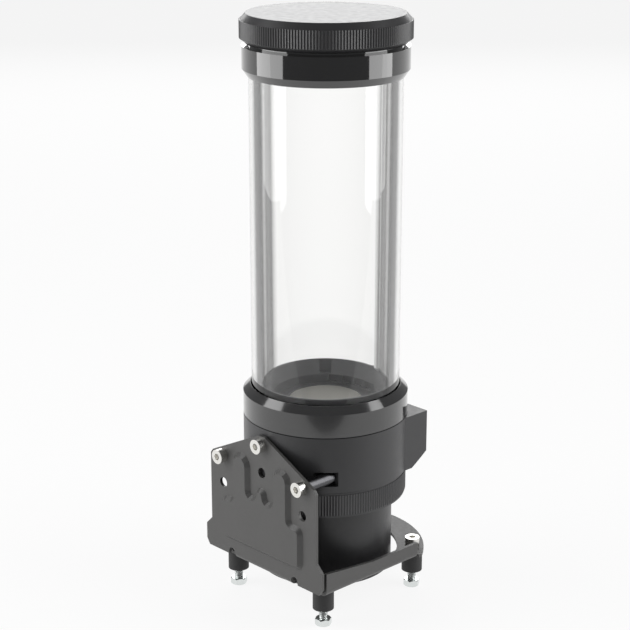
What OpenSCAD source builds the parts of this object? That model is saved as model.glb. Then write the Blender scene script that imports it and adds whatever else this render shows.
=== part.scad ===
// Coolant reservoir with a built-in pump: a glass tank on a pump head, carried by a bent steel
// bracket on four rubber feet. Origin: on the ground, in the middle of the footprint. +Z up,
// bracket plate to -Y, port face to +Y.

/* [Tank] */
// Outer diameter of the glass tube
tube_od = 70; // [66:1:72]
// Wall of the glass tube
tube_wall = 5; // [3:0.5:6]
// Length of the glass tube
tube_len = 167; // [100:1:220]
// Outer diameter of the clamp ring and the pump head
ring_od = 78; // [78:1:84]
// Height of the clamp ring
ring_h = 14.3; // [12:0.1:20]
// Size of the clamp ring's top chamfer
ring_chamfer = 3.3; // [1:0.1:3.5]

/* [Fill cap] */
// Outer diameter of the collar on the top of the tube
collar_od = 76; // [76:1:82]
// Height of the collar's straight band
collar_band_h = 10.2; // [8:0.1:14]
// Height of the collar's lower taper
collar_taper_h = 3.5; // [2:0.1:5]
// Outer diameter of the fill cap
cap_od = 78; // [76:1:84]
// Height of the knurled band
knurl_h = 8.1; // [5:0.1:12]
// Size of the fill cap's top chamfer
cap_chamfer = 2.9; // [1:0.1:4]
// Number of grooves in each knurl
knurl_count = 180; // [60:4:240]
// Depth of the knurl grooves
knurl_depth = 0.3; // [0.1:0.05:0.6]
// Height of the threaded neck that the cap screws onto
neck_h = 9.3; // [6:0.1:11]

/* [Pump head] */
// Height of the pump head
head_h = 26.8; // [25:0.1:36]
// Distance of the square port corner from the axis
corner_reach = 34.2; // [33:0.1:38]
// Distance of the two port faces from the axis
port_face = 34.2; // [33:0.1:36]
// Radius of a port thread's wall
port_r = 5.9; // [4:0.1:6.5]
// Depth of a port thread
port_depth = 12; // [8:0.5:13]
// Sideways place of the outlet port
outlet_x = 20; // [18:0.5:22]
// Sideways place of the return port
return_x = -8; // [-12:0.5:-6]
// Radius of the volute chamber
volute_r = 24; // [22:0.5:26]

/* [Pump] */
// Diameter of the motor housing
motor_od = 64; // [62:0.5:66]
// Length of the motor housing under its flange
motor_len = 40.3; // [36:0.1:60]
// How far the motor hangs through the base plate
motor_drop = 5.5; // [1:0.1:8]
// Height of the knurled pump nut
nut_h = 12; // [10:0.5:14]
// Radius of the rotor dome
rotor_r = 17.8; // [14:0.1:18]
// Radius of the bearing ball
ball_r = 3; // [2:0.1:4]
// Number of impeller vanes
vane_count = 6; // [3:1:9]

/* [Bracket] */
// Thickness of the bracket sheet
sheet_t = 1.5; // [1:0.1:2]
// Half the width of the bracket's base
base_half = 40.5; // [38:0.5:44]
// Radius of the base plate's round rear edge
base_rear_r = 48; // [46:0.5:52]
// Radius of the opening round the motor
base_hole_r = 35; // [34:0.5:36]
// Height of the side flanges at the rear
flange_h = 8.2; // [4:0.1:10]
// Extra height of the side flanges at the front
flange_rise = 3.4; // [0:0.1:5]
// Half the width of the upright plate above the flare
plate_half = 36.5; // [34:0.5:38]
// Height of the upright plate's peak above the ground
plate_peak = 89.4; // [86:0.1:96]
// Slope of the upright plate's two top edges, height per length
plate_slope = 0.48; // [0.3:0.01:0.7]
// Depth of the pressed field in the upright plate
press_depth = 2; // [1:0.1:2.5]
// Sideways spacing from the axis to a side bracket screw
screw_x = 27.5; // [26:0.5:29]
// Height of the side bracket screws
screw_z = 71.3; // [70:0.1:73]
// Height of the side screws' mates lower down, for a panel
panel_hole_drop = 14; // [12:0.5:16]
// Radius of a panel hole
panel_hole_r = 2.5; // [2:0.1:3]

/* [Feet] */
// Spacing of the feet along both sides
foot_pitch = 60; // [56:0.5:62]
// Diameter of a rubber buffer
foot_d = 10; // [8:0.5:11]
// Height of a rubber buffer
foot_h = 11.5; // [8:0.5:20]
// Height of a buffer's lower end above the ground
foot_drop = 8.5; // [6:0.5:12]

/* [Hidden] */
$fn = 96;

// Clearances
running = 0.05;   // radial gap of a shaft or ball in its seat
seat = 0.05;      // gap between stacked parts
slip = 0.3;       // radial gap of a thread or a loose fit
joint_gap = 0.45; // visible line between two stacked housings

// Fasteners, metric M4
m4_r = 2;
m4_clear_r = 2.25;
m4_tap_r = 2.05;
m4_head_r = 3.5;
m4_head_h = 4;
m4_key = 3;
m4_key_depth = 2;
m4_nut_af = 7;
m4_nut_h = 3.2;

// Heights, from the ground up
base_z = foot_drop + foot_h;
base_top = base_z + sheet_t;
motor_z = base_z - motor_drop;
flange_z = motor_z + motor_len;
flange_t = 3.2;
flange_top = flange_z + flange_t;
washer_t = 0.7;
nut_lip = 2;
nut_z = flange_z - 2 * seat - washer_t - nut_lip;
head_z = nut_z + nut_h + joint_gap;
head_top = head_z + head_h;
ring_z = head_top + joint_gap;
ring_top = ring_z + ring_h;
gasket_t = 1.5;
head_neck_h = 2;
lower_gasket_z = head_top + head_neck_h + seat;
tube_z = lower_gasket_z + gasket_t + seat;
tube_top = tube_z + tube_len;
upper_gasket_z = tube_top + seat;
collar_ledge = upper_gasket_z + gasket_t + seat;
collar_insert = 10.5;
collar_z = tube_top - collar_insert;
collar_top = collar_z + collar_taper_h + collar_band_h;
neck_top = collar_top + neck_h;
seal_r = 1;
seal_z = neck_top + seat + seal_r;
cap_ceiling = seal_z + seal_r + seat;
cap_top_t = 3;
cap_top = cap_ceiling + cap_top_t;
knurl_top = cap_top - cap_chamfer;
knurl_z = knurl_top - knurl_h;
cap_skirt_h = 2;
cap_z = knurl_z - cap_skirt_h;

// Radii
tube_r = tube_od / 2;
tube_bore_r = tube_r - tube_wall;
tube_seat_r = tube_r + slip;
ring_r = ring_od / 2;
collar_r = collar_od / 2;
cap_r = cap_od / 2;
motor_r = motor_od / 2;
neck_r = tube_r - 0.2;
cap_bore_r = neck_r + slip;
head_neck_r = tube_r - 1;
spigot_r = ring_r - 3;
nut_r = ring_r - 0.4;
nut_bore_r = spigot_r + slip;
flange_r = spigot_r - 0.1;
nut_lip_r = motor_r + slip + 0.2;
seal_track_r = (tube_bore_r + neck_r) / 2;

// Strainer
cup_wall = 1.5;
cup_r = tube_bore_r - slip;
cup_z = head_top + 0.7 + seat;
cup_rim = ring_top + 1.5;
window_r = cup_r - 4.2;
window_h = 3.2;
window_count = 5;
window_step = 16;
window_first = 64;
window_angle = 10;
notch_angle = 136.5;
funnel_notch_w = 6;
cup_floor = cup_z + 3;
window_z = cup_floor + cup_wall + 0.6;
funnel_z = window_z + window_h + 0.4;
mesh_r = 17.5;
mesh_t = 0.5;
mesh_z = cup_floor + cup_wall + 0.8;

// Pump head
corner_cone_r = corner_reach * sqrt(2) + 0.1;
corner_cone_h = 6.5;
port_z = head_z + head_h / 2;
port_spot_r = 11.5;
duct_r = 4.5;
floor_z = cup_z - seat;
spigot_z = flange_top + seat;
volute_top = head_z + 7.5;
eye_r = 8;
riser_y = 12;
return_riser_y = 21;
pocket_face = 22.4;
pocket_h = 7;
pocket_edge = screw_x - 3.8;
top_pocket_face = 33;
top_pocket_r = 3.6;
screw_bite = 7;

// Rotor and motor
dome_gap = 0.8;
can_wall = 0.6;
can_r = rotor_r + dome_gap;
impeller_r = 20;
impeller_z = flange_top + 1;
hub_t = 2;
vane_h = 4;
ball_z = flange_top - 8;
post_r = 1.6;
motor_wall = 2;
motor_bore_r = motor_r - motor_wall;
end_cap_t = 2.5;
stator_z = flange_top - 24;
stator_h = 18;
stator_in_r = can_r + can_wall + 0.6;
board_z = motor_z + end_cap_t + 4;
board_t = 1.6;
socket_w = 14;
socket_d = 6;
socket_h = 5;
socket_y = 20;
coil_count = 6;
head_seal_r = 1.25;
head_seal_track = 29.5;

// Bracket
plate_y = -(ring_r + 0.5 + sheet_t);
plate_back = plate_y + sheet_t;
bend_r = 3;
ear_z = base_z + 1.3;
flare_z = base_z + 12.2;
flare_h = base_half - plate_half;
top_screw_z = plate_peak - 5.1;
notch_x = 22;
notch_r = 2.2;
notch_h = 2.6;
relief = 1;
flange_end_y = sqrt(base_rear_r * base_rear_r - base_half * base_half) - 3;
field_half = 28;
field_z = base_z + 9.5;
field_h = 22;
finger_x = 14;
finger_r = 6;
finger_top = screw_z + 5.2;
valley_r = 2.2;
shoulder_r = 2;
arch_top = field_z + field_h + 11.3;
field_corner = 4;
side_spacer_r = 3;
foot_x = foot_pitch / 2;
feet = [[-foot_x, -foot_x], [foot_x, -foot_x], [-foot_x, foot_x], [foot_x, foot_x]];

// The tank axis sits this far behind the middle of the footprint.
axis_y = -(base_rear_r + plate_y - m4_head_h) / 2;

// ---- helpers ------------------------------------------------------------------------------

module on_axis() {
    translate([0, axis_y, 0]) children();
}

module ring(outer, inner, z, h) {
    translate([0, 0, z]) difference() {
        cylinder(r = outer, h = h);
        translate([0, 0, -1]) cylinder(r = inner, h = h + 2);
    }
}

module o_ring(track, section, z) {
    translate([0, 0, z]) rotate_extrude() translate([track, 0]) circle(r = section, $fn = 32);
}

// A round band with upright V grooves all round.
module knurled_band(r, z, h) {
    points = [for (i = [0 : 2 * knurl_count - 1])
        let (a = 180 * i / knurl_count, p = i % 2 == 0 ? r : r - knurl_depth)
        [p * cos(a), p * sin(a)]];
    translate([0, 0, z]) linear_extrude(height = h) polygon(points);
}

// Axis along +Y, starting at the given point.
module along_y(x, y, z) {
    translate([x, y, z]) rotate([-90, 0, 0]) children();
}

// Socket head screw with its head under the origin's -Z side and its shank along +Z.
module cap_screw(length) {
    difference() {
        union() {
            cylinder(r = m4_r, h = length, $fn = 32);
            translate([0, 0, -m4_head_h]) cylinder(r = m4_head_r, h = m4_head_h, $fn = 48);
        }
        translate([0, 0, -m4_head_h - 1])
            cylinder(d = m4_key / cos(30), h = m4_key_depth + 1, $fn = 6);
    }
}

// A plate outline in X and Z, standing at the given Y.
module upright(y, t) {
    translate([0, y + t, 0]) rotate([90, 0, 0]) linear_extrude(height = t) children();
}

// ---- tank ---------------------------------------------------------------------------------

module glass_tube() {
    color([0.88, 0.93, 0.95, 0.35]) on_axis() ring(tube_r, tube_bore_r, tube_z, tube_len);
}

module lower_tube_gasket() {
    color("dimgray") on_axis() ring(head_neck_r - slip, tube_bore_r + slip, lower_gasket_z, gasket_t);
}

module upper_tube_gasket() {
    color("dimgray") on_axis() ring(tube_r - slip, tube_bore_r + slip, upper_gasket_z, gasket_t);
}

module clamp_ring() {
    color([0.08, 0.08, 0.09]) on_axis() rotate_extrude() polygon([
        [head_neck_r + slip, ring_z],
        [ring_r, ring_z],
        [ring_r, ring_top - ring_chamfer],
        [ring_r - ring_chamfer, ring_top],
        [tube_seat_r + 0.3, ring_top],
        [tube_seat_r, ring_top - 1.2],
        [tube_seat_r, tube_z - seat],
        [head_neck_r + slip, tube_z - seat]]);
}

module strainer_cup() {
    color([0.2, 0.2, 0.21]) on_axis() difference() {
        rotate_extrude() polygon([
            [cup_r - cup_wall, cup_z],
            [cup_r, cup_z],
            [cup_r, cup_rim],
            [cup_r - 0.8, cup_rim],
            [window_r, funnel_z],
            [window_r, cup_floor + cup_wall],
            [mesh_r + 1.3, cup_floor + cup_wall],
            [mesh_r + 1.3, mesh_z + mesh_t + 0.3],
            [mesh_r + slip, mesh_z + mesh_t + 0.3],
            [mesh_r + slip, mesh_z - seat],
            [mesh_r - 1.2, mesh_z - seat],
            [mesh_r - 1.2, cup_floor],
            [window_r + cup_wall, cup_floor],
            [window_r + cup_wall, funnel_z - 0.6],
            [cup_r - cup_wall, funnel_z + 3.6]]);
        for (i = [0 : window_count - 1])
            rotate([0, 0, window_first + i * window_step])
                translate([window_r - 1, -window_r * sin(window_angle / 2), window_z])
                    cube([cup_wall + 2, 2 * window_r * sin(window_angle / 2), window_h]);
        // Notch in the funnel over the return channel
        rotate([0, 0, notch_angle]) translate([window_r - 2, -funnel_notch_w / 2, funnel_z + 0.5])
            cube([cup_r - window_r + 1, funnel_notch_w, cup_rim - funnel_z]);
    }
}

module strainer_mesh() {
    color([0.75, 0.74, 0.7]) on_axis() translate([0, 0, mesh_z]) cylinder(r = mesh_r, h = mesh_t);
}

// ---- fill cap -----------------------------------------------------------------------------

module cap_collar() {
    color([0.05, 0.05, 0.06]) on_axis() rotate_extrude() polygon([
        [tube_seat_r, collar_z],
        [tube_seat_r + 0.3, collar_z],
        [collar_r, collar_z + collar_taper_h],
        [collar_r, collar_top],
        [neck_r, collar_top],
        [neck_r, neck_top],
        [tube_bore_r, neck_top],
        [tube_bore_r, collar_ledge],
        [tube_seat_r, collar_ledge]]);
}

module cap_seal() {
    color("dimgray") on_axis() o_ring(seal_track_r, seal_r, seal_z);
}

module fill_cap() {
    root_r = cap_r - knurl_depth - 0.1;
    color([0.16, 0.16, 0.17]) on_axis() difference() {
        union() {
            translate([0, 0, cap_z]) cylinder(r1 = root_r - cap_skirt_h, r2 = root_r, h = cap_skirt_h + 0.1);
            knurled_band(cap_r, knurl_z, knurl_h);
            translate([0, 0, knurl_top - 0.1])
                cylinder(r1 = root_r, r2 = cap_r - cap_chamfer, h = cap_chamfer + 0.1);
        }
        translate([0, 0, cap_z - 1]) cylinder(r = cap_bore_r, h = cap_ceiling - cap_z + 1);
    }
}

// ---- pump head ----------------------------------------------------------------------------

module head_outline() {
    cylinder(r = ring_r, h = head_h);
    intersection() {
        cube([corner_reach, corner_reach, head_h]);
        union() {
            cylinder(r1 = corner_cone_r - corner_cone_h, r2 = corner_cone_r, h = corner_cone_h);
            translate([0, 0, corner_cone_h]) cylinder(r = corner_cone_r, h = head_h - corner_cone_h);
        }
    }
}

// Flat-bottomed pocket for a side spacer, open to the outside, with its tapped hole.
module spacer_pocket(side) {
    mirror([side < 0 ? 1 : 0, 0, 0]) {
        translate([pocket_edge, -ring_r - 1, screw_z - pocket_h / 2])
            cube([ring_r, ring_r + 1 - pocket_face, pocket_h]);
        along_y(screw_x, -pocket_face - 1, screw_z)
            cylinder(r = m4_tap_r, h = screw_bite + 2, $fn = 32);
    }
}

module port(x) {
    along_y(x, port_face, port_z) cylinder(r = port_spot_r, h = ring_r);
    along_y(x, port_face - port_depth, port_z) cylinder(r = port_r, h = port_depth + 1);
}

module pump_head() {
    color([0.17, 0.17, 0.18]) on_axis() difference() {
        union() {
            translate([0, 0, head_z]) head_outline();
            translate([0, 0, spigot_z]) cylinder(r = spigot_r, h = head_z - spigot_z + 1);
            translate([0, 0, head_top - 1]) cylinder(r = head_neck_r, h = head_neck_h + 1);
        }
        // Tank floor, inlet eye and volute
        translate([0, 0, floor_z]) cylinder(r = tube_bore_r, h = head_neck_h + 1);
        translate([0, 0, volute_top - 1]) cylinder(r = eye_r, h = floor_z - volute_top + 2);
        translate([0, 0, spigot_z - 1]) cylinder(r = volute_r, h = volute_top - spigot_z + 1);
        // Outlet: from the volute up a riser to the port
        port(outlet_x);
        along_y(outlet_x, riser_y, port_z)
            cylinder(r = duct_r, h = port_face - port_depth - riser_y + 1);
        translate([outlet_x, riser_y, volute_top - 5])
            cylinder(r = duct_r, h = port_z - volute_top + 5);
        // Return: from the port up to the tank floor
        port(return_x);
        along_y(return_x, return_riser_y, port_z)
            cylinder(r = duct_r, h = port_face - port_depth - return_riser_y + 1);
        translate([return_x, return_riser_y, port_z]) cylinder(r = duct_r, h = head_h);
        // Seal groove under the spigot
        ring(head_seal_track + head_seal_r + 0.1, head_seal_track - head_seal_r - 0.1,
            spigot_z - 1, 1 + 2 * head_seal_r - 0.15);
        // Bracket fixings
        for (side = [-1, 1]) spacer_pocket(side);
        along_y(0, -ring_r - 1, top_screw_z) cylinder(r = top_pocket_r, h = ring_r + 1 - top_pocket_face);
        along_y(0, -top_pocket_face - 1, top_screw_z)
            cylinder(r = m4_tap_r, h = screw_bite + 2, $fn = 32);
    }
}

module head_seal() {
    color("dimgray") on_axis()
        o_ring(head_seal_track, head_seal_r, flange_top + head_seal_r - 0.15);
}

// ---- pump ---------------------------------------------------------------------------------

module pump_nut() {
    color([0.17, 0.17, 0.18]) on_axis() difference() {
        union() {
            translate([0, 0, nut_z]) cylinder(r = nut_r - knurl_depth - 0.1, h = nut_h);
            knurled_band(nut_r, nut_z + 1, nut_h - 2);
        }
        translate([0, 0, nut_z - 1]) cylinder(r = nut_lip_r, h = nut_h + 2);
        translate([0, 0, nut_z + nut_lip]) cylinder(r = nut_bore_r, h = nut_h);
    }
}

module nut_washer() {
    color([0.8, 0.78, 0.7]) on_axis() ring(flange_r, nut_lip_r, flange_z - seat - washer_t, washer_t);
}

module motor_housing() {
    color([0.1, 0.1, 0.1]) on_axis() difference() {
        union() {
            translate([0, 0, motor_z + end_cap_t + seat])
                cylinder(r = motor_r, h = motor_len - end_cap_t - seat);
            translate([0, 0, flange_z]) cylinder(r = flange_r, h = flange_t);
        }
        translate([0, 0, motor_z]) cylinder(r = motor_bore_r, h = motor_len - 2);
        translate([0, 0, flange_z - 3]) cylinder(r = can_r + can_wall + seat, h = flange_t + 4);
        // Recess that holds the can's rim, and the floor of the seal track
        translate([0, 0, flange_top - can_wall - seat])
            cylinder(r = head_seal_track - 3, h = can_wall + 1);
        ring(head_seal_track + head_seal_r, head_seal_track - head_seal_r, flange_top - 0.2, 1);
    }
}

module motor_end_cap() {
    color([0.09, 0.09, 0.09]) on_axis() difference() {
        union() {
            translate([0, 0, motor_z]) cylinder(r = motor_r, h = end_cap_t);
            ring(motor_bore_r - slip, motor_bore_r - 2, motor_z + end_cap_t - 0.5, 3.5);
        }
        translate([-socket_w / 2 - slip, socket_y - socket_d / 2 - slip, motor_z - 1])
            cube([socket_w + 2 * slip, socket_d + 2 * slip, end_cap_t + 2]);
    }
}

// Rear-facing plug inlet on the underside, soldered to the control board.
module power_socket() {
    wall = 1;
    color([0.85, 0.85, 0.82]) on_axis() translate([0, socket_y, board_z - seat - socket_h]) difference() {
        translate([-socket_w / 2, -socket_d / 2, 0]) cube([socket_w, socket_d, socket_h]);
        translate([-socket_w / 2 + wall, -socket_d / 2 + wall, -1])
            cube([socket_w - 2 * wall, socket_d - 2 * wall, socket_h]);
    }
}

module separator_can() {
    color([0.7, 0.7, 0.72]) on_axis() translate([0, 0, flange_top]) difference() {
        union() {
            intersection() {
                sphere(r = can_r + can_wall);
                translate([0, 0, -2 * can_r]) cylinder(r = 2 * can_r, h = 2 * can_r);
            }
            translate([0, 0, -can_wall]) cylinder(r = head_seal_track - 3 - slip, h = can_wall);
        }
        sphere(r = can_r);
    }
}

module bearing_post() {
    post_z = flange_top - can_r + 0.1;
    color([0.7, 0.7, 0.72]) on_axis() translate([0, 0, post_z])
        cylinder(r = post_r, h = ball_z - ball_r - post_z - running, $fn = 32);
}

module bearing_ball() {
    color("ivory") on_axis() translate([0, 0, ball_z]) sphere(r = ball_r, $fn = 48);
}

module impeller() {
    socket_r = ball_r + running;
    vane_r = 14;
    vane_t = 1.4;
    vane_start_r = 7;
    color([0.75, 0.72, 0.62]) on_axis() difference() {
        union() {
            translate([0, 0, flange_top]) intersection() {
                sphere(r = rotor_r);
                translate([0, 0, -2 * rotor_r]) cylinder(r = 2 * rotor_r, h = 2 * rotor_r);
            }
            translate([0, 0, flange_top]) cylinder(r = 6, h = impeller_z - flange_top);
            translate([0, 0, impeller_z]) cylinder(r = impeller_r, h = hub_t);
            translate([0, 0, impeller_z + hub_t]) intersection() {
                ring(impeller_r, vane_start_r, 0, vane_h);
                for (i = [0 : vane_count - 1]) rotate([0, 0, i * 360 / vane_count])
                    translate([vane_r, 0, 0]) difference() {
                        cylinder(r = vane_r, h = vane_h);
                        translate([0, 0, -1]) cylinder(r = vane_r - vane_t, h = vane_h + 2);
                        translate([-2 * vane_r, 0, -1]) cube([4 * vane_r, 2 * vane_r, vane_h + 2]);
                        translate([0, -2 * vane_r, -1]) cube([2 * vane_r, 4 * vane_r, vane_h + 2]);
                    }
            }
        }
        translate([0, 0, ball_z]) sphere(r = socket_r, $fn = 48);
        translate([0, 0, flange_top - 2 * rotor_r])
            cylinder(r = 0.85 * socket_r, h = ball_z - flange_top + 2 * rotor_r);
    }
}

module stator_core() {
    tooth_w = 5;
    color([0.45, 0.45, 0.48]) on_axis() translate([0, 0, stator_z]) difference() {
        union() {
            ring(motor_bore_r - slip, motor_bore_r - 3, 0, stator_h);
            for (i = [0 : coil_count - 1]) rotate([0, 0, i * 360 / coil_count])
                translate([stator_in_r, -tooth_w / 2, 3])
                    cube([motor_bore_r - 2 - stator_in_r, tooth_w, stator_h - 6]);
        }
        translate([0, 0, flange_top - stator_z]) sphere(r = stator_in_r);
    }
}

module stator_coils() {
    coil_w = 9;
    tooth_w = 5 + 2 * seat;
    color([0.72, 0.38, 0.18]) on_axis() for (i = [0 : coil_count - 1])
        translate([0, 0, stator_z]) rotate([0, 0, i * 360 / coil_count]) difference() {
            translate([stator_in_r + 1, -coil_w / 2, 1]) cube([5, coil_w, stator_h - 2]);
            translate([stator_in_r, -tooth_w / 2, 3 - seat])
                cube([8, tooth_w, stator_h - 6 + 2 * seat]);
        }
}

module control_board() {
    color([0.1, 0.35, 0.18]) on_axis() translate([0, 0, board_z])
        cylinder(r = motor_bore_r - 1.5, h = board_t);
}

// ---- bracket ------------------------------------------------------------------------------

module plate_outline() {
    edge_z = plate_peak - plate_slope * plate_half;
    difference() {
        polygon([
            [-base_half + 2, ear_z],
            [base_half - 2, ear_z],
            [base_half, ear_z + 3],
            [base_half, flare_z],
            [plate_half, flare_z + flare_h],
            [plate_half, edge_z - 1.5],
            [plate_half - 1.6, edge_z + 0.4],
            [2, plate_peak - 2 * plate_slope],
            [-2, plate_peak - 2 * plate_slope],
            [-plate_half + 1.6, edge_z + 0.4],
            [-plate_half, edge_z - 1.5],
            [-plate_half, flare_z + flare_h],
            [-base_half, flare_z],
            [-base_half, ear_z + 3]]);
        for (side = [-1, 1]) {
            translate([side * notch_x, base_z + notch_h]) circle(r = notch_r, $fn = 32);
            translate([side * notch_x - notch_r, base_z - 1]) square([2 * notch_r, notch_h + 1]);
            translate([side * screw_x, screw_z]) circle(r = m4_clear_r, $fn = 32);
            translate([side * screw_x, screw_z - panel_hole_drop]) circle(r = panel_hole_r, $fn = 32);
        }
        translate([-notch_x, 0]) square([2 * notch_x, base_z + bend_r]);
        translate([0, top_screw_z]) circle(r = m4_clear_r, $fn = 32);
        translate([0, top_screw_z - panel_hole_drop]) circle(r = panel_hole_r, $fn = 32);
    }
}

// Points on an arc, from one angle to another, leaving out its first few.
function arc(centre, r, from, to, skip = 0) = [for (i = [skip : arc_steps])
    let (a = from + (to - from) * i / arc_steps) centre + r * [cos(a), sin(a)]];

// Right half of the pressed field's outline, drawn inwards by d, from the bottom up: a wide
// field, its shoulder, a finger, the valley beside it and the arch on the middle line.
function half_outline(d) =
    let (
        top = field_z + field_h,
        corner_x = field_half - field_corner,
        arch_r = finger_x - finger_r - 2 * valley_r,
        arch_z = arch_top - arch_r)
    concat(
        arc([corner_x, field_z + field_corner], field_corner - d, -90, 0),
        arc([corner_x, top - field_corner], field_corner - d, 0, 80),
        arc([finger_x + finger_r + shoulder_r, top + shoulder_r], shoulder_r + d, 260, 180),
        arc([finger_x, finger_top - finger_r], finger_r - d, 0, 180),
        arc([finger_x - finger_r - valley_r, arch_z], valley_r + d, 0, -180),
        arc([0, arch_z], arch_r - d, 0, 90, 1));

// Places along the half outline: foot of the finger, bottom of the valley, middle line.
arc_steps = 6;
finger_foot = 3 * arc_steps + 2;
valley_bottom = finger_foot + 2 + arc_steps + arc_steps / 2;
middle = 5 * arc_steps + 5 + arc_steps - 1;

function opposite(i) = 2 * middle - i;
function mirrored(half) = concat(
    half, [for (i = [middle - 1 : -1 : 0]) [-half[i][0], half[i][1]]]);
function band(i) = [i, i + 1, opposite(i + 1), opposite(i)];

// The outline's inside as convex faces: bands across it, and a fan for each finger.
function cap_faces() = concat(
    [for (i = [0 : finger_foot - 1]) band(i)],
    [for (i = [finger_foot + 1 : valley_bottom - 1]) [finger_foot, i, i + 1]],
    [for (i = [finger_foot + 1 : valley_bottom - 1])
        [opposite(finger_foot), opposite(i + 1), opposite(i)]],
    [[finger_foot, valley_bottom, opposite(valley_bottom), opposite(finger_foot)]],
    [for (i = [valley_bottom : middle - 2]) band(i)],
    [[middle - 1, middle, middle + 1]]);

// A frustum with walls at 45 degrees, from its wide end at the given Y towards -Y.
module pressed_frustum(y, depth, inset) {
    near = mirrored(half_outline(inset));
    far = mirrored(half_outline(inset + depth));
    n = len(near);
    polyhedron(
        points = concat(
            [for (q = near) [q[0], y, q[1]]],
            [for (q = far) [q[0], y - depth, q[1]]]),
        faces = concat(
            cap_faces(),
            [for (f = cap_faces()) [for (i = [len(f) - 1 : -1 : 0]) n + f[i]]],
            [for (i = [0 : n - 1]) [i, n + i, n + (i + 1) % n, (i + 1) % n]]));
}

module bend(length) {
    intersection() {
        rotate([90, 0, 90]) difference() {
            cylinder(r = bend_r, h = length, center = true, $fn = 48);
            cylinder(r = bend_r - sheet_t, h = length + 2, center = true, $fn = 48);
        }
        translate([-length / 2, -bend_r, -bend_r]) cube([length, bend_r, bend_r]);
    }
}

module base_outline() {
    front = plate_y + bend_r;
    half = base_half - bend_r;
    difference() {
        union() {
            intersection() {
                circle(r = base_rear_r);
                translate([-base_half, flange_end_y + relief])
                    square([2 * base_half, base_rear_r]);
            }
            translate([-half, front]) square([2 * half, flange_end_y + relief - front]);
        }
        circle(r = base_hole_r);
        for (p = feet) translate(p) circle(r = m4_clear_r, $fn = 32);
    }
}

module side_flange(side) {
    start = plate_y + bend_r;
    length = flange_end_y - start;
    mirror([side < 0 ? 1 : 0, 0, 0]) {
        translate([base_half - bend_r, start + length / 2, base_z + bend_r])
            rotate([0, 0, 90]) bend(length);
        translate([base_half, start, 0]) rotate([0, -90, 0]) linear_extrude(height = sheet_t)
            polygon([
                [base_z + bend_r, 0],
                [base_z + flange_h + flange_rise, 0],
                [base_z + flange_h, length / 2],
                [base_z + flange_h, length],
                [base_z + bend_r, length]]);
    }
}

module bracket() {
    bend_half = notch_x - notch_r;
    skin = 0.5;
    wall_shift = sheet_t * (sqrt(2) - 1);
    color([0.22, 0.22, 0.22]) on_axis() {
        difference() {
            union() {
                upright(plate_y, sheet_t) plate_outline();
                pressed_frustum(plate_y + skin, press_depth + skin, -skin);
            }
            pressed_frustum(plate_back + skin, press_depth + skin, wall_shift - skin);
        }
        translate([0, plate_y + bend_r, base_z + bend_r]) bend(2 * bend_half);
        translate([0, 0, base_z]) linear_extrude(height = sheet_t) base_outline();
        for (side = [-1, 1]) side_flange(side);
    }
}

module side_spacers() {
    color([0.2, 0.2, 0.21]) on_axis() for (side = [-1, 1])
        along_y(side * screw_x, plate_back, screw_z) difference() {
            cylinder(r = side_spacer_r, h = -plate_back - pocket_face);
            translate([0, 0, -1]) cylinder(r = m4_clear_r, h = ring_r, $fn = 32);
        }
}

module top_spacer() {
    color([0.2, 0.2, 0.21]) on_axis() along_y(0, plate_back, top_screw_z) difference() {
        cylinder(r = side_spacer_r, h = -plate_back - top_pocket_face);
        translate([0, 0, -1]) cylinder(r = m4_clear_r, h = ring_r, $fn = 32);
    }
}

module bracket_screws() {
    color([0.8, 0.8, 0.8]) on_axis() {
        for (side = [-1, 1])
            along_y(side * screw_x, plate_y, screw_z)
                cap_screw(-plate_y - pocket_face + screw_bite);
        along_y(0, plate_y, top_screw_z) cap_screw(-plate_y - top_pocket_face + screw_bite);
    }
}

// ---- feet ---------------------------------------------------------------------------------

screw_reach = 7;
stud_reach = 2.5;

module foot_screws() {
    color([0.8, 0.8, 0.8]) on_axis() for (p = feet)
        translate([p[0], p[1], base_top]) rotate([180, 0, 0]) cap_screw(sheet_t + screw_reach);
}

module rubber_foot(p) {
    color([0.12, 0.12, 0.12]) on_axis() translate([p[0], p[1], foot_drop]) difference() {
        cylinder(d = foot_d, h = foot_h, $fn = 48);
        translate([0, 0, foot_h - screw_reach - 0.5])
            cylinder(r = m4_tap_r, h = screw_reach + 1, $fn = 32);
        translate([0, 0, -1]) cylinder(r = m4_tap_r, h = stud_reach + 1, $fn = 32);
    }
}

module foot_front_left() { rubber_foot(feet[0]); }

module foot_front_right() { rubber_foot(feet[1]); }

module foot_rear_left() { rubber_foot(feet[2]); }

module foot_rear_right() { rubber_foot(feet[3]); }

module foot_studs() {
    color([0.75, 0.77, 0.76]) on_axis() for (p = feet)
        translate([p[0], p[1], 0.3]) cylinder(r = m4_r, h = foot_drop + stud_reach - 0.3, $fn = 32);
}

module foot_nuts() {
    nut_corner_r = m4_nut_af / 2 / cos(30);
    color([0.75, 0.77, 0.76]) on_axis() for (p = feet) translate([p[0], p[1], 0]) difference() {
        intersection() {
            cylinder(r = nut_corner_r, h = m4_nut_h, $fn = 6);
            union() {
                cylinder(r1 = m4_nut_af / 2, r2 = nut_corner_r + 0.2, h = 0.5);
                translate([0, 0, 0.5]) cylinder(r = nut_corner_r + 0.2, h = m4_nut_h - 1);
                translate([0, 0, m4_nut_h - 0.5])
                    cylinder(r1 = nut_corner_r + 0.2, r2 = m4_nut_af / 2, h = 0.5);
            }
        }
        translate([0, 0, -1]) cylinder(r = m4_tap_r, h = m4_nut_h + 2, $fn = 32);
    }
}

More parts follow.
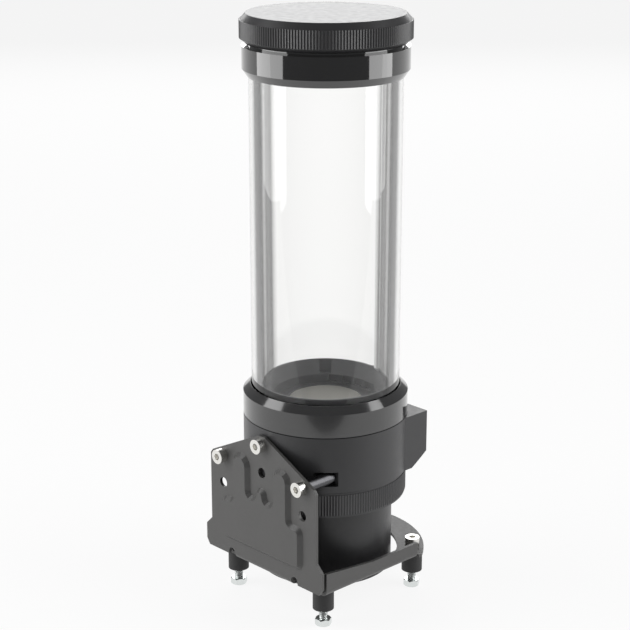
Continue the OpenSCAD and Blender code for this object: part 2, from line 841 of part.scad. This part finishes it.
fill_cap();
cap_seal();
cap_collar();
upper_tube_gasket();
glass_tube();
lower_tube_gasket();
clamp_ring();
strainer_cup();
strainer_mesh();
pump_head();
head_seal();
pump_nut();
nut_washer();
motor_housing();
motor_end_cap();
power_socket();
separator_can();
bearing_post();
bearing_ball();
impeller();
stator_core();
stator_coils();
control_board();
bracket();
side_spacers();
top_spacer();
bracket_screws();
foot_screws();
foot_front_left();
foot_front_right();
foot_rear_left();
foot_rear_right();
foot_studs();
foot_nuts();
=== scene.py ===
"""Looks of the coolant reservoir: materials with thread and weave relief, studio and camera."""

import math

import bpy
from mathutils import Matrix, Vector


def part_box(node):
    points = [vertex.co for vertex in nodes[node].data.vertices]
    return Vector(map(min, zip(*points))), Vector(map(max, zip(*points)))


# ---- camera and studio -----------------------------------------------------------------
SENSOR = 36  # mm
LENS = 98.25  # mm
NEAREST, FURTHEST = 0.01, 50  # metres that the camera sees between
CAMERA = Vector((0.5540, -0.5341, 0.3795))
PITCH = math.radians(17.42)
AZIMUTH = math.radians(46.5)
RIGHT = Vector((math.cos(AZIMUTH), math.sin(AZIMUTH), 0))
AWAY = Vector((-math.sin(AZIMUTH), math.cos(AZIMUTH), 0))

FLOOR_HALF_WIDTH = 4
FLOOR_FRONT = -0.28
FLOOR_BACK = 5
PAPER_COLOUR = (0.9, 0.9, 0.9, 1)
PAPER_ROUGHNESS = 0.9
PAPER_GLOW = 1.0  # level that the camera sees the paper at
PAPER_SHARE = 0.88  # the rest is the paper as it is lit, shadow included
ROOM_COLOUR = (0.22, 0.22, 0.225, 1)
BACKDROP_COLOUR = (1, 1, 1, 1)

HEART_HEIGHT = 0.15  # height that the back softbox is aimed at
SIDE_AIM_HEIGHT = 0.3
SIDE_HEIGHT = 0.45
SIDE_BOX_HEIGHT = 0.95
SIDE_LEVEL = 3.2
BACK_LEVEL = 2.6

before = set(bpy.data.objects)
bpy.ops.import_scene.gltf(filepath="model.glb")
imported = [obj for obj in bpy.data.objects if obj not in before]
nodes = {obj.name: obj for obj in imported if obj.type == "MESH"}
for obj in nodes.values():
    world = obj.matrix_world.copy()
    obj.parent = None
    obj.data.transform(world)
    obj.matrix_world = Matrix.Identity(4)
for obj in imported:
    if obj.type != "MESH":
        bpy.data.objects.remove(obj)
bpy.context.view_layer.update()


# ---- node helpers ----------------------------------------------------------------------
class Shader:
    """A Principled material that is built up one effect at a time, in object coordinates."""

    def __init__(self, name, colour, rough, metallic=0.0, specular=0.5, coat=0.0):
        self.material = bpy.data.materials.new(name)
        self.material.use_nodes = True
        self.material.diffuse_color = (*colour, 1)
        self.tree = self.material.node_tree
        self.bsdf = self.tree.nodes["Principled BSDF"]
        self.colour = (*colour, 1)
        self.rough = rough
        self.bsdf.inputs["Base Color"].default_value = self.colour
        self.bsdf.inputs["Roughness"].default_value = rough
        self.bsdf.inputs["Metallic"].default_value = metallic
        self.bsdf.inputs["Specular IOR Level"].default_value = specular
        self.bsdf.inputs["Coat Weight"].default_value = coat
        self.bsdf.inputs["Coat Roughness"].default_value = COAT_ROUGHNESS
        self.coords = self.node("ShaderNodeTexCoord").outputs["Object"]
        self.height = None

    def node(self, kind, **settings):
        made = self.tree.nodes.new(kind)
        for key, value in settings.items():
            setattr(made, key, value)
        return made

    def link(self, a, b):
        self.tree.links.new(a, b)

    def noise(self, size, stretch=(1, 1, 1), detail=3.0):
        """Noise with features about size metres across."""
        mapping = self.node("ShaderNodeMapping")
        mapping.inputs["Scale"].default_value = stretch
        self.link(self.coords, mapping.inputs["Vector"])
        noise = self.node("ShaderNodeTexNoise")
        noise.inputs["Scale"].default_value = 1 / size
        noise.inputs["Detail"].default_value = detail
        self.link(mapping.outputs["Vector"], noise.inputs["Vector"])
        return noise.outputs["Fac"]

    def math(self, operation, a, b=None):
        made = self.node("ShaderNodeMath", operation=operation)
        for socket, value in zip(made.inputs, (a, b)):
            if value is None:
                continue
            if isinstance(value, (int, float)):
                socket.default_value = value
            else:
                self.link(value, socket)
        return made.outputs[0]

    def ramp(self, factor, low, high, start=0.0, end=1.0):
        made = self.node("ShaderNodeMapRange")
        made.inputs["From Min"].default_value = start
        made.inputs["From Max"].default_value = end
        made.inputs["To Min"].default_value = low
        made.inputs["To Max"].default_value = high
        self.link(factor, made.inputs["Value"])
        return made.outputs["Result"]

    def vary(self, factor, amount):
        """Base colour runs lighter and darker by amount."""
        mix = self.node("ShaderNodeMix", data_type="RGBA")
        low = [c * (1 - amount) for c in self.colour[:3]]
        high = [min(1, c * (1 + amount)) for c in self.colour[:3]]
        mix.inputs["A"].default_value = (*low, 1)
        mix.inputs["B"].default_value = (*high, 1)
        self.link(factor, mix.inputs["Factor"])
        self.link(mix.outputs["Result"], self.bsdf.inputs["Base Color"])
        return self

    def roughen(self, factor, amount):
        rough = self.ramp(factor, self.rough - amount, self.rough + amount, 0.3, 0.7)
        self.link(rough, self.bsdf.inputs["Roughness"])
        return self

    def bump(self, factor, depth, strength=1.0):
        """Adds relief of the given depth in metres; calls stack."""
        bump = self.node("ShaderNodeBump")
        bump.inputs["Strength"].default_value = strength
        bump.inputs["Distance"].default_value = depth
        self.link(factor, bump.inputs["Height"])
        if self.height is not None:
            self.link(self.height, bump.inputs["Normal"])
        self.height = bump.outputs["Normal"]
        self.link(self.height, self.bsdf.inputs["Normal"])
        return self

    def axis(self, letter):
        split = self.node("ShaderNodeSeparateXYZ")
        self.link(self.coords, split.inputs["Vector"])
        return split.outputs[letter]

    def waves(self, value, pitch):
        """Smooth ridges, one each pitch of value."""
        turns = self.math("MULTIPLY", value, 2 * math.pi / pitch)
        return self.math("SINE", turns)


def dress(shader, *names):
    for name in names:
        mesh = nodes[name].data
        mesh.materials.clear()
        mesh.materials.append(shader.material)


def middle(name):
    low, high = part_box(name)
    return (Vector(low) + Vector(high)) / 2


AXIS = middle("glass_tube")

COAT_ROUGHNESS = 0.05
WEAVE_PITCH = 0.0005
WEAVE_DEPTH = 0.00008
STUD_PITCH = 0.0007
GLASS_IOR = 1.47
# share of light that the glass lets through, by how much the surface turns from the eye; the
# dip is painted shade for the dark surroundings seen through the tube's slanted walls
GLASS_EDGE_SHADE_STOPS = ((0.0, 1.0), (0.37, 0.93), (0.47, 0.06), (0.62, 0.1), (0.72, 0.9), (1.0, 1.0))


# ---- materials -------------------------------------------------------------------------
def satin_black(name, level, rough):
    """Satin black with a fine grain, stretched sideways."""
    s = Shader(name, (level, level, level * 1.04), rough)
    s.vary(s.noise(0.02), 0.08)
    s.roughen(s.noise(0.003), 0.03)
    s.bump(s.noise(0.0009, (0.02, 0.02, 1)), 0.00002, 0.35)
    return s


def polished_black(name, level=0.008, rough=0.06):
    s = Shader(name, (level, level, level), rough, 0.0, 0.75, 0.6)
    s.vary(s.noise(0.03), 0.1)
    s.roughen(s.noise(0.004), 0.015)
    s.bump(s.noise(0.006), 0.00001, 0.1)
    return s


def powder_coat():
    s = Shader("powder_coat", (0.075, 0.074, 0.072), 0.42)
    s.vary(s.noise(0.015), 0.06)
    s.roughen(s.noise(0.0015), 0.05)
    s.bump(s.noise(0.0007), 0.00003, 0.35)
    return s


def rubber(name, level):
    s = Shader(name, (level, level, level), 0.62)
    s.vary(s.noise(0.002), 0.15)
    s.bump(s.noise(0.0006), 0.00003, 0.4)
    return s


def bright_metal(name, colour, rough, grain=0.0015):
    s = Shader(name, colour, rough, 1.0)
    s.vary(s.noise(0.004), 0.05)
    s.roughen(s.noise(grain), 0.05)
    s.bump(s.noise(grain / 3), 0.00001, 0.3)
    return s


def threaded_metal(name, colour, rough, pitch):
    s = bright_metal(name, colour, rough)
    s.bump(s.waves(s.axis("Z"), pitch), pitch * 0.25, 0.9)
    return s


def woven_mesh():
    s = Shader("woven_mesh", (0.5, 0.49, 0.45), 0.45, 0.35)
    across = s.waves(s.axis("X"), WEAVE_PITCH)
    along = s.waves(s.axis("Y"), WEAVE_PITCH)
    weave = s.math("MULTIPLY", across, along)
    # painted shade: base colour darker in the weave's hollows and lighter on its crests,
    # following the relief
    s.vary(s.ramp(weave, 0, 1, -1, 1), 0.22)
    s.bump(weave, WEAVE_DEPTH, 0.8)
    return s


def moulded(name, colour, rough=0.45):
    s = Shader(name, colour, rough)
    s.vary(s.noise(0.01), 0.06)
    s.roughen(s.noise(0.002), 0.04)
    s.bump(s.noise(0.0012), 0.00002, 0.25)
    return s


def clear_glass():
    """Thick clear glass, darker where its surface is seen at a slant: painted shade for the
    dark surroundings seen through its walls.
    """
    s = Shader("clear_glass", (0.985, 0.99, 0.985), 0.0)
    s.bsdf.inputs["Transmission Weight"].default_value = 1.0
    s.bsdf.inputs["IOR"].default_value = GLASS_IOR
    # painted shade: the base colour follows how slanted the surface is to the eye, not the
    # lamps
    slant = s.node("ShaderNodeLayerWeight")
    slant.inputs["Blend"].default_value = 0.5
    ramp = s.node("ShaderNodeValToRGB")
    elements = ramp.color_ramp.elements
    while len(elements) < len(GLASS_EDGE_SHADE_STOPS):
        elements.new(0.5)
    for element, (position, level) in zip(elements, GLASS_EDGE_SHADE_STOPS):
        element.position = position
        element.color = (level, level, level * 0.995, 1)
    s.link(slant.outputs["Facing"], ramp.inputs["Fac"])
    s.link(ramp.outputs["Color"], s.bsdf.inputs["Base Color"])
    return s


dress(satin_black("cap_black", 0.03, 0.32), "fill_cap")
dress(polished_black("collar_black"), "cap_collar")
dress(polished_black("ring_black", 0.02, 0.12), "clamp_ring")
dress(satin_black("head_black", 0.035, 0.36), "pump_head")
dress(satin_black("nut_black", 0.04, 0.4), "pump_nut")
dress(moulded("motor_black", (0.022, 0.022, 0.023), 0.4), "motor_housing", "motor_end_cap")
dress(moulded("insert_grey", (0.075, 0.077, 0.08), 0.38), "strainer_cup")
dress(woven_mesh(), "strainer_mesh")
dress(clear_glass(), "glass_tube")
gaskets = ("cap_seal", "upper_tube_gasket", "lower_tube_gasket", "head_seal")
dress(rubber("gasket_rubber", 0.02), *gaskets)
dress(powder_coat(), "bracket")
dress(bright_metal("spacer_black", (0.09, 0.09, 0.095), 0.3), "side_spacers", "top_spacer")
dress(bright_metal("screw_steel", (0.78, 0.77, 0.74), 0.22), "bracket_screws", "foot_screws")
feet = ("foot_front_left", "foot_front_right", "foot_rear_left", "foot_rear_right")
dress(rubber("rubber", 0.022), *feet)
dress(threaded_metal("stud_zinc", (0.74, 0.77, 0.76), 0.2, STUD_PITCH), "foot_studs")
dress(bright_metal("nut_zinc", (0.74, 0.77, 0.76), 0.18), "foot_nuts")
dress(moulded("natural_plastic", (0.62, 0.6, 0.52)), "nut_washer", "power_socket")
dress(bright_metal("stainless", (0.66, 0.66, 0.67), 0.25), "separator_can", "bearing_post")
dress(moulded("ceramic", (0.8, 0.78, 0.7), 0.12), "bearing_ball")
dress(moulded("rotor_plastic", (0.55, 0.52, 0.42), 0.4), "impeller")
dress(bright_metal("core_steel", (0.3, 0.3, 0.32), 0.5), "stator_core")
dress(bright_metal("copper", (0.72, 0.33, 0.16), 0.35), "stator_coils")
dress(moulded("solder_mask", (0.02, 0.16, 0.06), 0.3), "control_board")


# ---- studio ----------------------------------------------------------------------------
def place(u, v, z):
    """A point to the right of the tank axis by u, behind it by v, as the camera sees it."""
    return Vector((0, AXIS.y, 0)) + RIGHT * u + AWAY * v + Vector((0, 0, z))


def bright_to_camera(tree, shader, emission_level, share):
    """Camera, mirror and glass rays see mostly a plain level; other rays see the shader."""
    path = tree.nodes.new("ShaderNodeLightPath")
    seen = path.outputs["Is Camera Ray"]
    for extra in ("Is Glossy Ray", "Is Transmission Ray"):
        top = tree.nodes.new("ShaderNodeMath")
        top.operation = "MAXIMUM"
        tree.links.new(seen, top.inputs[0])
        tree.links.new(path.outputs[extra], top.inputs[1])
        seen = top.outputs[0]
    scaled = tree.nodes.new("ShaderNodeMath")
    scaled.operation = "MULTIPLY"
    scaled.inputs[1].default_value = share
    tree.links.new(seen, scaled.inputs[0])
    glow = tree.nodes.new("ShaderNodeEmission")
    glow.inputs["Color"].default_value = (emission_level,) * 3 + (1,)
    mix = tree.nodes.new("ShaderNodeMixShader")
    tree.links.new(scaled.outputs[0], mix.inputs[0])
    tree.links.new(shader, mix.inputs[1])
    tree.links.new(glow.outputs[0], mix.inputs[2])
    return mix.outputs[0]


def make_floor():
    mesh = bpy.data.meshes.new("studio_floor")
    front = [place(u, FLOOR_FRONT, 0) for u in (-FLOOR_HALF_WIDTH, FLOOR_HALF_WIDTH)]
    back = [place(u, FLOOR_BACK, 0) for u in (FLOOR_HALF_WIDTH, -FLOOR_HALF_WIDTH)]
    corners = front + back
    mesh.from_pydata(corners, [], [(0, 1, 2, 3)])
    floor = bpy.data.objects.new("studio_floor", mesh)
    bpy.context.collection.objects.link(floor)
    paper = bpy.data.materials.new("studio_paper")
    paper.use_nodes = True
    tree = paper.node_tree
    bsdf = tree.nodes["Principled BSDF"]
    bsdf.inputs["Base Color"].default_value = PAPER_COLOUR
    bsdf.inputs["Roughness"].default_value = PAPER_ROUGHNESS
    out = tree.nodes["Material Output"]
    seen = bright_to_camera(tree, bsdf.outputs[0], PAPER_GLOW, PAPER_SHARE)
    tree.links.new(seen, out.inputs["Surface"])
    mesh.materials.append(paper)


def softbox(name, at, aim, width, height, level):
    """An area lamp that looks level bright in a mirror."""
    data = bpy.data.lights.new(name, "AREA")
    data.shape = "RECTANGLE"
    data.size = width
    data.size_y = height
    data.energy = level * math.pi * width * height
    lamp = bpy.data.objects.new(name, data)
    lamp.location = at
    lamp.rotation_euler = (aim - at).to_track_quat("-Z", "Y").to_euler()
    lamp.visible_camera = False
    lamp.visible_transmission = False
    bpy.context.collection.objects.link(lamp)


def make_world():
    world = bpy.data.worlds.new("studio")
    bpy.context.scene.world = world
    world.use_nodes = True
    tree = world.node_tree
    dim = tree.nodes["Background"]
    dim.inputs["Color"].default_value = ROOM_COLOUR
    path = tree.nodes.new("ShaderNodeLightPath")
    both = tree.nodes.new("ShaderNodeMath")
    both.operation = "MAXIMUM"
    tree.links.new(path.outputs["Is Camera Ray"], both.inputs[0])
    tree.links.new(path.outputs["Is Transmission Ray"], both.inputs[1])
    white = tree.nodes.new("ShaderNodeBackground")
    white.inputs["Color"].default_value = BACKDROP_COLOUR
    mix = tree.nodes.new("ShaderNodeMixShader")
    tree.links.new(both.outputs[0], mix.inputs[0])
    tree.links.new(dim.outputs[0], mix.inputs[1])
    tree.links.new(white.outputs[0], mix.inputs[2])
    tree.links.new(mix.outputs[0], tree.nodes["World Output"].inputs["Surface"])


def make_camera():
    data = bpy.data.cameras.new("camera")
    data.lens = LENS
    data.sensor_width = SENSOR
    data.clip_start = NEAREST
    data.clip_end = FURTHEST
    camera = bpy.data.objects.new("camera", data)
    camera.location = CAMERA
    camera.rotation_euler = (math.radians(90) - PITCH, 0, AZIMUTH)
    bpy.context.collection.objects.link(camera)
    bpy.context.scene.camera = camera


make_floor()
make_world()
make_camera()

side_aim = place(0, 0, SIDE_AIM_HEIGHT)
left = place(-0.75, -0.1, SIDE_HEIGHT)
right = place(0.75, -0.16, SIDE_HEIGHT)
back = place(0, 1.5, 0.75)
heart = place(0, 0, HEART_HEIGHT)
softbox("softbox_left", left, side_aim, 0.7, SIDE_BOX_HEIGHT, SIDE_LEVEL)
softbox("softbox_right", right, side_aim, 0.6, SIDE_BOX_HEIGHT, SIDE_LEVEL)
softbox("softbox_back", back, heart, 1.6, 0.8, BACK_LEVEL)

bpy.context.scene.view_settings.view_transform = "Standard"
